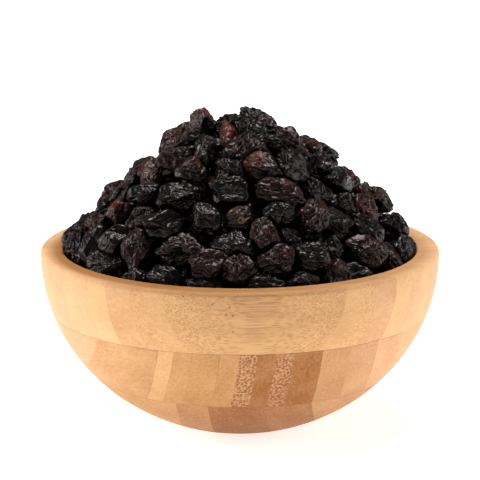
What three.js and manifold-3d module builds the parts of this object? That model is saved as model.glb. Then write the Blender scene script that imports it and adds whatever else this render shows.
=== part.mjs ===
// A bowl turned from three glued boards of laminated bamboo, heaped with black raisins.
// Millimetres, +Z up. The bowl stands on z = 0 with its axis through the origin, and -Y is the front.
import * as THREE from "three";
import { mergeVertices } from "three/addons/utils/BufferGeometryUtils.js";
import Module from "manifold-3d";

// The bowl
const BOWL_DIAMETER = 150;
const BOWL_HEIGHT = 66;
const BASE_DIAMETER = 52;
const RIM_WIDTH = 8.5;
const FLOOR_THICKNESS = 9;
const OUTER_RIM_ROUNDING = 1.5;
const INNER_RIM_ROUNDING = 1;
// Heights of the two glue lines between the three boards
const LOWER_GLUE_LINE = 19.25;
const UPPER_GLUE_LINE = 42.75;
// Sides around the bowl, and steps up the walls of its three boards
const BOWL_SIDES = 64;
const BASE_STEPS = 5;
const WALL_STEPS = 4;
const RIM_STEPS = 3;

// The heap's tips lie on a rounded cone that rises from a little inside the rim.
const HEAP_RISE = 51;
const HEAP_REACH = 69.5;
const HEAP_CURVE = 1.75;
// Behind the raisins that top it in front, the crown dips a little.
const CROWN_DIP = 4.5;
const CROWN_RADIUS = 26;
// The heap stays this far from the bowl.
const GAP_TO_BOWL = 0.3;

// The core stands for the raisins underneath: its depth under the tips, how far the raisins that
// show reach into it, and how far under the rim it meets the bowl
const CORE_DEPTH = 6.7;
const ROOT_DEPTH = 1.1;
const CORE_EDGE = 3;
const CORE_STEPS = 5;
const CORE_SIDES = 32;

// The raisins that show: how many, and how deep their middles may lie under the tips
const TOP_RAISINS = 126;
const MIDDLE_DEPTH = [3.2, 6.4];
const FRONT_MIDDLE_DEPTH = 1.6;
const RAISIN_LENGTH = [12.5, 17];
const RAISIN_WIDTH = [9.5, 12.5];
const RAISIN_THICKNESS = [7.6, 10];
const LARGEST_TILT = 32;
// Front raisins: thickness in shares of the width, and how far their flatter faces turn from the
// heap's normal to the one who looks
const FRONT_FLATNESS = 0.82;
const FACING_VIEWER = 0.35;

// How they are laid: places tried for each, rounds of settling, how close two may come in shares of
// their size, and how far a front raisin may stray from where it is seen
const TRIES_PER_RAISIN = 30;
const SETTLING_ROUNDS = 60;
const CONTACT = 1.06;
const FRONT_RAISIN_PLAY = 1.6;
const SEED = 2417;

// A raisin is a ball with few sides, a little larger than its size so that its flats lie on the
// skin, and made uneven by waves.
const BALL_RADIUS = 1.06;
const BALL_SIDES = 6;
const BALL_BANDS = 4;
const LUMP_WAVES = 3;
const LUMP_HEIGHT = 0.075;
const LUMP_PITCH = [2.2, 4.4];

// The raisins that show from the front, as seen from there by someone who looks down by this angle:
// millimetres across and up from the middle of the rim, length, width, and turn from level in degrees
const VIEW_ELEVATION = 12.8;
const FRONT_RAISINS = [
  [-60.4, 5.4, 15.5, 11.5, 75],
  [-60.4, -3.7, 11, 8.5, 150],
  [-53, 8.8, 11, 9.5, 45],
  [-51, 14.6, 10, 8.5, 70],
  [-50, -7, 16, 10.5, 165],
  [-46.5, 21, 14.5, 9.5, 40],
  [-46.4, 1.6, 11.5, 10.5, 40],
  [-46, 13, 10.5, 9, 70],
  [-38.9, 27.6, 14, 9.5, 45],
  [-38, -11.2, 11, 8.5, 165],
  [-37, 19.7, 13.5, 10, 0],
  [-35.9, -0.6, 15, 10.5, 80],
  [-35.1, 9.2, 12, 9.5, 20],
  [-28, -10.4, 12.5, 10, 150],
  [-25.7, 29.5, 15, 11, 15],
  [-23.8, 41, 12.5, 12, 60],
  [-22, 16, 17.5, 14, 20],
  [-21.2, 0, 17.5, 13, 5],
  [-19.3, 27.6, 12, 9, 160],
  [-14, 35.9, 13.5, 9, 115],
  [-12.5, -14, 13.5, 9, 175],
  [-12.6, 44.6, 17, 11.5, 118],
  [-11.4, -8, 14.5, 10.5, 20],
  [-11, 8.8, 12, 10, 110],
  [-3.5, 17.4, 14.5, 11, 175],
  [-2.7, 45, 16, 9, 5],
  [-2.7, 27.2, 12, 10, 150],
  [-2.3, 38.5, 14.5, 7.5, 95],
  [-1.6, -7.4, 12, 10, 30],
  [-0.9, 7.6, 10.5, 9, 0],
  [4.8, 40.4, 13.5, 9, 130],
  [6.7, -14.6, 14.5, 10, 10],
  [9.4, 47.7, 17.5, 8.5, 118],
  [9.7, 27.6, 15.5, 10, 145],
  [10.4, 4.3, 12, 10.5, 100],
  [11.9, -4, 12.5, 10, 20],
  [13.4, 19.2, 16.5, 11.5, 160],
  [15, 11, 12, 9.5, 165],
  [15.7, 37.8, 14, 12.5, 150],
  [19.5, 1.2, 10, 8.5, 160],
  [23.2, -13.6, 12.5, 9.5, 20],
  [23.6, -4.8, 14, 10, 172],
  [24.4, 36.6, 10.5, 9, 60],
  [27.4, 20.8, 11, 9.5, 120],
  [27.4, 9, 15, 12, 70],
  [28, 29.5, 12, 10, 60],
  [32.3, 36.3, 13.5, 9, 165],
  [34.2, -0.6, 9.5, 8.5, 90],
  [34.2, -10, 11.5, 10, 80],
  [34.9, 24.6, 12.5, 10, 10],
  [38.7, 16.3, 11, 9, 170],
  [42, -9.3, 12.5, 9, 165],
  [42.4, 25.2, 10, 8.5, 150],
  [45.5, 10.8, 11.5, 10.5, 90],
  [47.3, -1, 17, 12, 155],
  [50.4, 17.8, 12.5, 11, 150],
  [59, 7.6, 13, 11, 155],
  [61.7, -1.8, 12, 9, 60],
];

// The heap's outline as seen from there, in the same millimetres across and up: the raisins behind
// stay under it
const OUTLINE = [
  [-66, 5], [-62.3, 11.4], [-54, 12.8], [-51, 18.9], [-46.4, 24.6], [-42.7, 28.4],
  [-38.5, 32.1], [-30, 34.5], [-28.5, 41], [-22.7, 45.3], [-17, 49.1], [-14.5, 51],
  [-10.5, 46.3], [3, 47.5], [6.3, 52.7], [8.9, 51.7], [15, 44.9], [22.5, 41.2],
  [31.5, 39.3], [36.8, 36.6], [38.5, 29.4], [44.3, 28], [45.8, 22.4], [51.9, 22],
  [55, 16], [57.9, 11.8], [66, 6],
];

const bowlRadius = BOWL_DIAMETER / 2;
const mouthRadius = bowlRadius - RIM_WIDTH;
const radians = Math.PI / 180;

// The outside is part of an ellipse that is upright just under the rim and stops at the flat base.
const uprightAt = BOWL_HEIGHT - OUTER_RIM_ROUNDING;
const outerDepth = uprightAt / Math.sqrt(1 - (BASE_DIAMETER / BOWL_DIAMETER) ** 2);
const outerRadius = (z) => bowlRadius * Math.sqrt(1 - ((z - uprightAt) / outerDepth) ** 2);

// The hollow is half an ellipse.
const hollowDepth = BOWL_HEIGHT - FLOOR_THICKNESS;
const innerRadius = (z) =>
  mouthRadius * Math.sqrt(Math.max(0, 1 - ((BOWL_HEIGHT - z) / hollowDepth) ** 2));

const point = (r, z) => new THREE.Vector2(r, z);

// Points of a wall from one height to another, both ends included
function wall(radiusAt, from, to, steps) {
  const points = [];
  for (let i = 0; i <= steps; i++) {
    const z = from + ((to - from) * i) / steps;
    points.push(point(radiusAt(z), z));
  }
  return points;
}

// A closed solid turned from a profile that runs anticlockwise, radius first and height second
function turned(profile, sides) {
  return new THREE.LatheGeometry(profile, sides).rotateX(Math.PI / 2);
}

// The inner wall between two angles of its ellipse, counted from the floor's middle up
function hollowCurve(steps, from, to) {
  const points = [];
  for (let i = 0; i <= steps; i++) {
    const angle = (from + ((to - from) * i) / steps) * radians;
    points.push(point(mouthRadius * Math.sin(angle), BOWL_HEIGHT - hollowDepth * Math.cos(angle)));
  }
  return points;
}

// The angle of the hollow's ellipse at a height
const hollowAngle = (z) => Math.acos((BOWL_HEIGHT - z) / hollowDepth) / radians;

function baseBoard() {
  const outside = wall(outerRadius, 0, LOWER_GLUE_LINE, BASE_STEPS);
  const floor = hollowCurve(WALL_STEPS, 0, hollowAngle(LOWER_GLUE_LINE)).reverse();
  floor[floor.length - 1].x = 0;
  return turned([point(0, 0), ...outside, ...floor], BOWL_SIDES);
}

function middleBoard() {
  const outside = wall(outerRadius, LOWER_GLUE_LINE, UPPER_GLUE_LINE, WALL_STEPS);
  const inside = wall(innerRadius, UPPER_GLUE_LINE, LOWER_GLUE_LINE, WALL_STEPS);
  return turned([...outside, ...inside, outside[0].clone()], BOWL_SIDES);
}

// How far the rounding's middle point lies in from the corner, on both sides
const cornerCut = OUTER_RIM_ROUNDING * (1 - Math.SQRT1_2);

function topBoard() {
  const outside = wall(outerRadius, UPPER_GLUE_LINE, uprightAt, RIM_STEPS);
  const rimTop = [
    point(bowlRadius - cornerCut, BOWL_HEIGHT - cornerCut),
    point(bowlRadius - OUTER_RIM_ROUNDING, BOWL_HEIGHT),
    point(mouthRadius + INNER_RIM_ROUNDING, BOWL_HEIGHT),
    point(innerRadius(BOWL_HEIGHT - INNER_RIM_ROUNDING), BOWL_HEIGHT - INNER_RIM_ROUNDING),
  ];
  const underRim = BOWL_HEIGHT - INNER_RIM_ROUNDING;
  const inside = wall(innerRadius, underRim, UPPER_GLUE_LINE, RIM_STEPS).slice(1);
  return turned([...outside, ...rimTop, ...inside, outside[0].clone()], BOWL_SIDES);
}

// The height that the raisins' tips reach at a distance from the axis
const heapHeight = (r) => BOWL_HEIGHT + HEAP_RISE * (1 - (r / HEAP_REACH) ** HEAP_CURVE);

// The outward normal of the heap over a point of the plan
function heapNormal(x, y) {
  const r = Math.max(Math.hypot(x, y), 0.5);
  const fall = (HEAP_RISE * HEAP_CURVE * (r / HEAP_REACH) ** (HEAP_CURVE - 1)) / HEAP_REACH;
  return new THREE.Vector3((fall * x) / r, (fall * y) / r, 1).normalize();
}

// A point at a depth under the surface of the tips
function underTips(x, y, depth) {
  const tip = new THREE.Vector3(x, y, heapHeight(Math.hypot(x, y)));
  return tip.addScaledVector(heapNormal(x, y), -depth);
}

// The same stream of numbers from 0 to 1 on every run
let state = SEED;
function draw() {
  state = (Math.imul(state, 1664525) + 1013904223) >>> 0;
  return state / 4294967296;
}
const between = ([low, high]) => low + (high - low) * draw();

const viewUp = new THREE.Vector3(
  0,
  Math.sin(VIEW_ELEVATION * radians),
  Math.cos(VIEW_ELEVATION * radians),
);
const toViewer = new THREE.Vector3(0, -viewUp.z, viewUp.y);
const viewRight = new THREE.Vector3(1, 0, 0);
const rimMiddle = new THREE.Vector3(0, 0, BOWL_HEIGHT);

// Where across a raisin its top is held to the outline, in shares of half its breadth
const OUTLINE_PROBES = [-0.8, 0, 0.8];

// The outline's height at a place across, on the straight lines between its points
function outlineAt(across) {
  const last = OUTLINE.length - 1;
  const after = OUTLINE.findIndex(([x]) => x > across);
  if (after <= 0) return OUTLINE[after < 0 ? last : 0][1];
  const [[x0, up0], [x1, up1]] = OUTLINE.slice(after - 1, after + 1);
  return up0 + ((up1 - up0) * (across - x0)) / (x1 - x0);
}

// A raisin's middle, its long direction, the way its flatter face looks, and its size
function raisin(middle, along, facing, size) {
  const side = new THREE.Vector3().crossVectors(facing, along).normalize();
  const out = new THREE.Vector3().crossVectors(along, side).normalize();
  const waves = [];
  for (let i = 0; i < LUMP_WAVES; i++) {
    const direction = new THREE.Vector3(draw() - 0.5, draw() - 0.5, draw() - 0.5).normalize();
    waves.push({ direction, pitch: between(LUMP_PITCH), phase: 2 * Math.PI * draw() });
  }
  return { middle, along, side, out, size, waves };
}

// Halvings that find where a line of sight meets the heap
const SIGHT_STEPS = 40;

// A raisin seen from the front starts where its line of sight meets the heap.
function frontRaisin([across, up, length, width, turn]) {
  const depth = (MIDDLE_DEPTH[0] + MIDDLE_DEPTH[1]) / 2;
  let near = -Math.sqrt(Math.max(0, mouthRadius ** 2 - across ** 2));
  let far = 0;
  for (let i = 0; i < SIGHT_STEPS; i++) {
    const y = (near + far) / 2;
    const seen = underTips(across, y, depth).sub(rimMiddle).dot(viewUp);
    if (seen < up) near = y;
    else far = y;
  }
  const middle = underTips(across, near, depth);
  const short = up - middle.clone().sub(rimMiddle).dot(viewUp);
  middle.addScaledVector(viewUp, short);
  const normal = heapNormal(across, near);
  const facing = normal.clone().lerp(toViewer, FACING_VIEWER).normalize();
  const uphill = viewUp.clone().addScaledVector(facing, -viewUp.dot(facing)).normalize();
  const level = new THREE.Vector3().crossVectors(uphill, facing).normalize();
  const along = level.multiplyScalar(Math.cos(turn * radians));
  along.addScaledVector(uphill, Math.sin(turn * radians)).normalize();
  const placed = raisin(middle, along, facing, new THREE.Vector3(length, width, width * FRONT_FLATNESS));
  placed.home = { across, up };
  return placed;
}

// The free room round a place, in shares of the room that two raisins need
function room(middle, size, others) {
  let least = Infinity;
  for (const other of others) {
    const need = (size.x + size.y + other.size.x + other.size.y) / 4;
    least = Math.min(least, middle.distanceTo(other.middle) / need);
  }
  return least;
}

// Every other raisin starts at the freest of a few places drawn over the heap.
function looseRaisin(others) {
  const size = new THREE.Vector3(
    between(RAISIN_LENGTH),
    between(RAISIN_WIDTH),
    between(RAISIN_THICKNESS),
  );
  const depth = between(MIDDLE_DEPTH);
  let best = null;
  let most = -1;
  for (let i = 0; i < TRIES_PER_RAISIN; i++) {
    const r = mouthRadius * Math.sqrt(draw());
    const angle = 2 * Math.PI * draw();
    const x = r * Math.cos(angle);
    const y = r * Math.sin(angle);
    const free = room(underTips(x, y, depth), size, others);
    if (free > most) {
      most = free;
      best = { x, y };
    }
  }
  const normal = heapNormal(best.x, best.y);
  const level = new THREE.Vector3(0, 1, 0).cross(normal).normalize();
  const uphill = new THREE.Vector3().crossVectors(normal, level);
  const turn = Math.PI * draw();
  const along = level.multiplyScalar(Math.cos(turn)).addScaledVector(uphill, Math.sin(turn));
  const tilt = LARGEST_TILT * radians * (2 * draw() - 1);
  along.multiplyScalar(Math.cos(tilt)).addScaledVector(normal, Math.sin(tilt)).normalize();
  return raisin(underTips(best.x, best.y, depth), along, normal, size);
}

// The distance from a raisin's middle to its skin in a direction
function reach({ along, side, out, size }, direction) {
  const a = direction.dot(along) / size.x;
  const b = direction.dot(side) / size.y;
  const c = direction.dot(out) / size.z;
  return 0.5 / Math.sqrt(a * a + b * b + c * c);
}

// Half of a raisin's breadth across a direction's flats
function halfBreadth({ along, side, out, size }, direction) {
  const a = direction.dot(along) * size.x;
  const b = direction.dot(side) * size.y;
  const c = direction.dot(out) * size.z;
  return 0.5 * Math.sqrt(a * a + b * b + c * c);
}

// No two raisins whose middles are farther apart than this can touch.
const FARTHEST_TOUCH = RAISIN_LENGTH[1] * 1.2;

// Two raisins that press into each other move apart by half of what they overlap.
function pressApart(one, other) {
  const apart = new THREE.Vector3().subVectors(other.middle, one.middle);
  const distance = apart.length();
  if (distance > FARTHEST_TOUCH) return;
  apart.divideScalar(distance);
  const overlap = CONTACT * (reach(one, apart) + reach(other, apart)) - distance;
  if (overlap <= 0) return;
  const share = overlap / 4;
  one.middle.addScaledVector(apart, -share);
  other.middle.addScaledVector(apart, share);
}

// How far a raisin rises over the heap's outline, as seen from the front
function overOutline(placed) {
  const seenUp = placed.middle.clone().sub(rimMiddle).dot(viewUp);
  const breadth = halfBreadth(placed, viewRight);
  const height = halfBreadth(placed, viewUp);
  const over = OUTLINE_PROBES.map((share) => {
    const top = seenUp + height * Math.sqrt(1 - share * share);
    return top - outlineAt(placed.middle.x + breadth * share);
  });
  return Math.max(...over);
}

// A raisin stays near the heap's surface, inside the bowl's wall and, in front, where it is seen.
function keepInPlace(placed) {
  const { middle, home } = placed;
  if (home) {
    const seenUp = middle.clone().sub(rimMiddle).dot(viewUp);
    const strayAcross = middle.x - home.across;
    const strayUp = seenUp - home.up;
    const stray = Math.hypot(strayAcross, strayUp);
    const back = Math.max(0, 1 - FRONT_RAISIN_PLAY / Math.max(stray, 1e-9));
    middle.x -= strayAcross * back;
    middle.addScaledVector(viewUp, -strayUp * back);
  }
  const normal = heapNormal(middle.x, middle.y);
  const depth = (heapHeight(Math.hypot(middle.x, middle.y)) - middle.z) * normal.z;
  const rooted = CORE_DEPTH + ROOT_DEPTH - reach(placed, normal);
  const crown = Math.max(0, 1 - Math.hypot(middle.x, middle.y) / CROWN_RADIUS);
  const dip = home ? 0 : CROWN_DIP * crown;
  const shallowest = Math.max(home ? FRONT_MIDDLE_DEPTH : MIDDLE_DEPTH[0], rooted) + dip;
  const wanted = Math.min(MIDDLE_DEPTH[1] + dip, Math.max(shallowest, depth));
  middle.addScaledVector(normal, depth - wanted);
  const r = Math.hypot(middle.x, middle.y);
  const outward = new THREE.Vector3(middle.x / r, middle.y / r, 0);
  const over = r + halfBreadth(placed, outward) - mouthRadius;
  if (over > 0) middle.addScaledVector(outward, -over);
  if (!home) middle.addScaledVector(viewUp, -Math.max(0, overOutline(placed)));
}

function placeRaisins() {
  const placed = FRONT_RAISINS.map(frontRaisin);
  while (placed.length < TOP_RAISINS) placed.push(looseRaisin(placed));
  for (let round = 0; round < SETTLING_ROUNDS; round++) {
    for (let i = 0; i < placed.length; i++) {
      for (let j = i + 1; j < placed.length; j++) pressApart(placed[i], placed[j]);
    }
    placed.forEach(keepInPlace);
  }
  return placed;
}

// The ball that every raisin is pressed from
const ball = new THREE.SphereGeometry(BALL_RADIUS, BALL_SIDES, BALL_BANDS).rotateZ(Math.PI / 2);
ball.deleteAttribute("normal");
ball.deleteAttribute("uv");
const ballMesh = mergeVertices(ball, 1e-4);

// A ball pressed to the raisin's size, turned to its directions and made uneven by its waves
function raisinGeometry({ middle, along, side, out, size, waves }) {
  const geometry = ballMesh.clone();
  const position = geometry.getAttribute("position");
  const u = new THREE.Vector3();
  for (let i = 0; i < position.count; i++) {
    u.fromBufferAttribute(position, i);
    let swell = 1;
    for (const { direction, pitch, phase } of waves) {
      swell += LUMP_HEIGHT * Math.sin(pitch * u.dot(direction) + phase);
    }
    const moved = middle.clone();
    moved.addScaledVector(along, (u.x * size.x * swell) / 2);
    moved.addScaledVector(side, (u.y * size.y * swell) / 2);
    moved.addScaledVector(out, (u.z * size.z * swell) / 2);
    position.setXYZ(i, moved.x, moved.y, moved.z);
  }
  return geometry;
}

const wasm = await Module();
wasm.setup();

function toSolid(geometry) {
  const bare = new THREE.BufferGeometry();
  bare.setAttribute("position", geometry.getAttribute("position"));
  if (geometry.index) bare.setIndex(geometry.index);
  const merged = mergeVertices(bare, 1e-4);
  const vertProperties = merged.getAttribute("position").array;
  const triVerts = new Uint32Array(merged.index.array);
  return new wasm.Manifold(new wasm.Mesh({ numProp: 3, vertProperties, triVerts }));
}

function toGeometry(solid) {
  const { vertProperties, triVerts } = solid.getMesh();
  const geometry = new THREE.BufferGeometry();
  geometry.setAttribute("position", new THREE.BufferAttribute(vertProperties, 3));
  geometry.setIndex(new THREE.BufferAttribute(triVerts, 1));
  return geometry;
}

// The hollow's wall less the gap, from the middle of the floor up to a height
function hollowWall(top, steps) {
  const inset = (p) => point(Math.max(0, p.x - GAP_TO_BOWL), p.y + GAP_TO_BOWL);
  const points = hollowCurve(steps, 0, hollowAngle(top)).map(inset);
  points[0].x = 0;
  return points;
}

// What fills the hollow under the raisins that show
function heapCore() {
  const over = [];
  for (let i = 0; i <= CORE_STEPS; i++) {
    const edge = (mouthRadius - CORE_EDGE) * (1 - i / CORE_STEPS);
    const { x, z } = underTips(edge, 0, CORE_DEPTH);
    over.push(point(i < CORE_STEPS ? x : 0, z));
  }
  return turned([...hollowWall(BOWL_HEIGHT - CORE_EDGE, CORE_STEPS), ...over], CORE_SIDES);
}

// The space that the heap may fill: the hollow less the gap, and what is over the rim inside its edge
function heapRoom() {
  const overRim = BOWL_HEIGHT + GAP_TO_BOWL;
  const edge = bowlRadius - OUTER_RIM_ROUNDING;
  const top = BOWL_HEIGHT + HEAP_RISE * 2;
  const outline = [
    ...hollowWall(BOWL_HEIGHT - INNER_RIM_ROUNDING, CORE_STEPS),
    point(mouthRadius - GAP_TO_BOWL, overRim),
    point(edge, overRim),
    point(edge, top),
    point(0, top),
  ];
  return turned(outline, CORE_SIDES);
}

// The raisins are joined to the core, trimmed to the bowl, and hollows that this seals are filled.
function heap() {
  let solid = toSolid(heapCore());
  for (const placed of placeRaisins()) solid = solid.add(toSolid(raisinGeometry(placed)));
  const trimmed = solid.intersect(toSolid(heapRoom()));
  const bodies = trimmed.decompose();
  const largest = bodies.reduce((a, b) => (a.volume() > b.volume() ? a : b));
  return toGeometry(largest);
}

const bamboo = new THREE.MeshStandardMaterial({ color: 0xdeb078, roughness: 0.45, metalness: 0 });
const darkBamboo = new THREE.MeshStandardMaterial({ color: 0xc8935c, roughness: 0.45, metalness: 0 });
const raisinSkin = new THREE.MeshStandardMaterial({ color: 0x1c1313, roughness: 0.42, metalness: 0 });

function named(name, geometry, material) {
  const mesh = new THREE.Mesh(geometry, material);
  mesh.name = name;
  return mesh;
}

const bowlOfRaisins = new THREE.Group();
bowlOfRaisins.add(
  named("bowl_base_board", baseBoard(), darkBamboo),
  named("bowl_middle_board", middleBoard(), darkBamboo),
  named("bowl_top_board", topBoard(), bamboo),
  named("raisin_heap", heap(), raisinSkin),
);

export default bowlOfRaisins;
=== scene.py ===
"""A turned bowl of laminated bamboo, heaped with black raisins, dressed for rendering.

Metres, +Z up. The bowl stands on z = 0 with its axis through the origin, and -Y is the front.
Sizes of the bowl and the raisins are in millimetres, which MM turns to metres.
"""

from collections import namedtuple
from functools import partialmethod
from math import acos, ceil, cos, degrees, hypot, pi, radians, sin, sqrt

import bmesh
import bpy
import numpy as np
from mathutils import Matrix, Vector


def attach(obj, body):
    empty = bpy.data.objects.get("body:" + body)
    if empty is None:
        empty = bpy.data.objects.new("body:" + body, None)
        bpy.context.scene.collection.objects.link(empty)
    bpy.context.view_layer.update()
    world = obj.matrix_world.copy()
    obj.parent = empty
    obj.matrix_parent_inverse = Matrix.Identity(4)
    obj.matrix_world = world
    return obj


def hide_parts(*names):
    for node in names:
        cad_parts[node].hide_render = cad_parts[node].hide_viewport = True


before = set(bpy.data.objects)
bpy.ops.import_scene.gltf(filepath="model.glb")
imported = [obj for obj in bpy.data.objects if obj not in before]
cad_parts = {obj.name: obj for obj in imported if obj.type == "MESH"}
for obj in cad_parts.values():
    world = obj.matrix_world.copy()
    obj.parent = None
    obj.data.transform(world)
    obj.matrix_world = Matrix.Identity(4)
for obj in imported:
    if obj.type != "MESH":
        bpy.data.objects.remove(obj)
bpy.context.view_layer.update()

MM = 0.001

# The camera: how far down it looks, how far off it is, and the height that it looks at
VIEW_ELEVATION = radians(12.8)
CAMERA_DISTANCE = 1
CAMERA_LENS = 199.1
AIM_HEIGHT = 68.2 * MM

# The bowl
BOWL_DIAMETER = 150
BOWL_HEIGHT = 66
BASE_DIAMETER = 52
RIM_WIDTH = 8.5
FLOOR_THICKNESS = 9
RIM_ROUNDING = 1.5
MOUTH_ROUNDING = 1
LOWER_GLUE = 19.25
UPPER_GLUE = 42.75
BASE_EASING = 0.8
# How far the boards are eased at the glue lines, and how far the faces stay flat beside that
SEAM_EASING = 0.05
HELD_FLAT = 0.25
# How finely the bowl is turned
BOWL_SIDES = 160
ROUNDING_STEPS = 6
WALL_STEP = 1.6
HOLLOW_STEP_DEGREES = 2
WELD_DISTANCE = 0.001

bowl_radius = BOWL_DIAMETER / 2
mouth_radius = bowl_radius - RIM_WIDTH
hollow_depth = BOWL_HEIGHT - FLOOR_THICKNESS
upright_at = BOWL_HEIGHT - RIM_ROUNDING

# The tips of the heap lie on a rounded cone.
HEAP_RISE = 51
HEAP_REACH = 69.5
HEAP_CURVE = 1.75
# Behind the raisins that top it in front, the crown dips a little.
CROWN_DIP = 4.5
CROWN_RADIUS = 26
GAP_TO_BOWL = 0.3
# How near the axis the heap's slope is read, and how deep in the hollow its wall, in shares
NEAREST_AXIS = 0.5
DEEPEST_SHARE = 0.999

# The raisins that show, and how deep their middles may lie under the tips
TOP_RAISINS = 126
CORE_DEPTH = 6.7
ROOT_DEPTH = 1.1
MIDDLE_DEPTH = (3.2, 6.4)
FRONT_MIDDLE_DEPTH = 1.6
RAISIN_LENGTH = (12.5, 17)
RAISIN_WIDTH = (9.5, 12.5)
RAISIN_THICKNESS = (7.6, 10)
LARGEST_TILT = 32
FRONT_FLATNESS = 0.82
FACING_VIEWER = 0.35
TRIES_PER_RAISIN = 30
SETTLING_ROUNDS = 60
CONTACT = 1.06
FARTHEST_TOUCH = RAISIN_LENGTH[1] * 1.2
FRONT_RAISIN_PLAY = 1.6
SIGHT_STEPS = 40
SEED = 2417
DRAW_FACTOR = 1664525
DRAW_STEP = 1013904223
DRAW_RANGE = 2**32

# The second layer, which shows between those
LOWER_RAISINS = 118
LOWER_DEPTH = (11.5, 13.5)

# The raisins that fill the bowl: steps across, back and up, rows on each side of the middle, layers,
# and how deep they start
DEEP_STEPS = (13.5, 12, 10)
DEEP_ROWS = 6
DEEP_LAYERS = 10
DEEP_UNDER = 19

# A skin: how brown, how blue and how red it is, how strongly it is wrinkled, and how much it shines
Skin = namedtuple("Skin", "brown blue red wrinkled shine")
BLACK = Skin(0.1, 0.1, 0, 0.8, 0.5)
SLEEK = Skin(0.15, 0.2, 0, 0.35, 0.9)
BLUE = Skin(0, 0.9, 0, 0.7, 0.7)
GREY = Skin(0.35, 0.5, 0, 1.2, 0.35)
BROWN = Skin(0.9, 0, 0.1, 1, 0.5)
WIZENED = Skin(0.8, 0, 0.05, 1.6, 0.4)
RUSSET = Skin(0.8, 0, 0.38, 0.9, 0.5)
RED = Skin(0.6, 0, 1, 0.7, 0.6)

# The raisins of the front, as seen from there: millimetres across and up from the middle of the rim,
# length, width, turn from level in degrees, and skin
FRONT_RAISINS = (
    (-60.4, 5.4, 15.5, 11.5, 75, BLUE),
    (-60.4, -3.7, 11, 8.5, 150, BLUE),
    (-53, 8.8, 11, 9.5, 45, BROWN),
    (-51, 14.6, 10, 8.5, 70, BLUE),
    (-50, -7, 16, 10.5, 165, BLUE),
    (-46.5, 21, 14.5, 9.5, 40, BROWN),
    (-46.4, 1.6, 11.5, 10.5, 40, SLEEK),
    (-46, 13, 10.5, 9, 70, RED),
    (-38.9, 27.6, 14, 9.5, 45, BROWN),
    (-38, -11.2, 11, 8.5, 165, BLACK),
    (-37, 19.7, 13.5, 10, 0, BLUE),
    (-35.9, -0.6, 15, 10.5, 80, BROWN),
    (-35.1, 9.2, 12, 9.5, 20, WIZENED),
    (-28, -10.4, 12.5, 10, 150, BLUE),
    (-25.7, 29.5, 15, 11, 15, BROWN),
    (-23.8, 41, 12.5, 12, 60, RUSSET),
    (-22, 16, 17.5, 14, 20, BLUE),
    (-21.2, 0, 17.5, 13, 5, WIZENED),
    (-19.3, 27.6, 12, 9, 160, BROWN),
    (-14, 35.9, 13.5, 9, 115, GREY),
    (-12.5, -14, 13.5, 9, 175, GREY),
    (-12.6, 44.6, 17, 11.5, 118, RED),
    (-11.4, -8, 14.5, 10.5, 20, BROWN),
    (-11, 8.8, 12, 10, 110, BLACK),
    (-3.5, 17.4, 14.5, 11, 175, BLUE),
    (-2.7, 45, 16, 9, 5, GREY),
    (-2.7, 27.2, 12, 10, 150, BLUE),
    (-2.3, 38.5, 14.5, 7.5, 95, RED),
    (-1.6, -7.4, 12, 10, 30, BROWN),
    (-0.9, 7.6, 10.5, 9, 0, BROWN),
    (4.8, 40.4, 13.5, 9, 130, BLUE),
    (6.7, -14.6, 14.5, 10, 10, GREY),
    (9.4, 47.7, 17.5, 8.5, 118, WIZENED),
    (9.7, 27.6, 15.5, 10, 145, RED),
    (10.4, 4.3, 12, 10.5, 100, BROWN),
    (11.9, -4, 12.5, 10, 20, BROWN),
    (13.4, 19.2, 16.5, 11.5, 160, BROWN),
    (15, 11, 12, 9.5, 165, BLUE),
    (15.7, 37.8, 14, 12.5, 150, BROWN),
    (19.5, 1.2, 10, 8.5, 160, GREY),
    (23.2, -13.6, 12.5, 9.5, 20, GREY),
    (23.6, -4.8, 14, 10, 172, BLUE),
    (24.4, 36.6, 10.5, 9, 60, RUSSET),
    (27.4, 20.8, 11, 9.5, 120, BLUE),
    (27.4, 9, 15, 12, 70, BROWN),
    (28, 29.5, 12, 10, 60, GREY),
    (32.3, 36.3, 13.5, 9, 165, GREY),
    (34.2, -0.6, 9.5, 8.5, 90, GREY),
    (34.2, -10, 11.5, 10, 80, BROWN),
    (34.9, 24.6, 12.5, 10, 10, SLEEK),
    (38.7, 16.3, 11, 9, 170, BLUE),
    (42, -9.3, 12.5, 9, 165, BLACK),
    (42.4, 25.2, 10, 8.5, 150, RUSSET),
    (45.5, 10.8, 11.5, 10.5, 90, RUSSET),
    (47.3, -1, 17, 12, 155, BROWN),
    (50.4, 17.8, 12.5, 11, 150, BROWN),
    (59, 7.6, 13, 11, 155, BLACK),
    (61.7, -1.8, 12, 9, 60, BLUE),
)
# The other raisins' skins are drawn from these.
LOOSE_SKINS = (BLACK, BLACK, BLUE, BLUE, BROWN, BROWN, GREY, WIZENED, SLEEK, RUSSET)
# The heap's outline in the same millimetres across and up: the raisins behind stay under it.
OUTLINE = (
    (-66, 5), (-62.3, 11.4), (-54, 12.8), (-51, 18.9), (-46.4, 24.6), (-42.7, 28.4),
    (-38.5, 32.1), (-30, 34.5), (-28.5, 41), (-22.7, 45.3), (-17, 49.1), (-14.5, 51),
    (-10.5, 46.3), (3, 47.5), (6.3, 52.7), (8.9, 51.7), (15, 44.9), (22.5, 41.2),
    (31.5, 39.3), (36.8, 36.6), (38.5, 29.4), (44.3, 28), (45.8, 22.4), (51.9, 22),
    (55, 16), (57.9, 11.8), (66, 6),
)
# Where a raisin's top is held to the outline, in shares of half its breadth
OUTLINE_PROBES = (-0.8, 0, 0.8)
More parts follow.
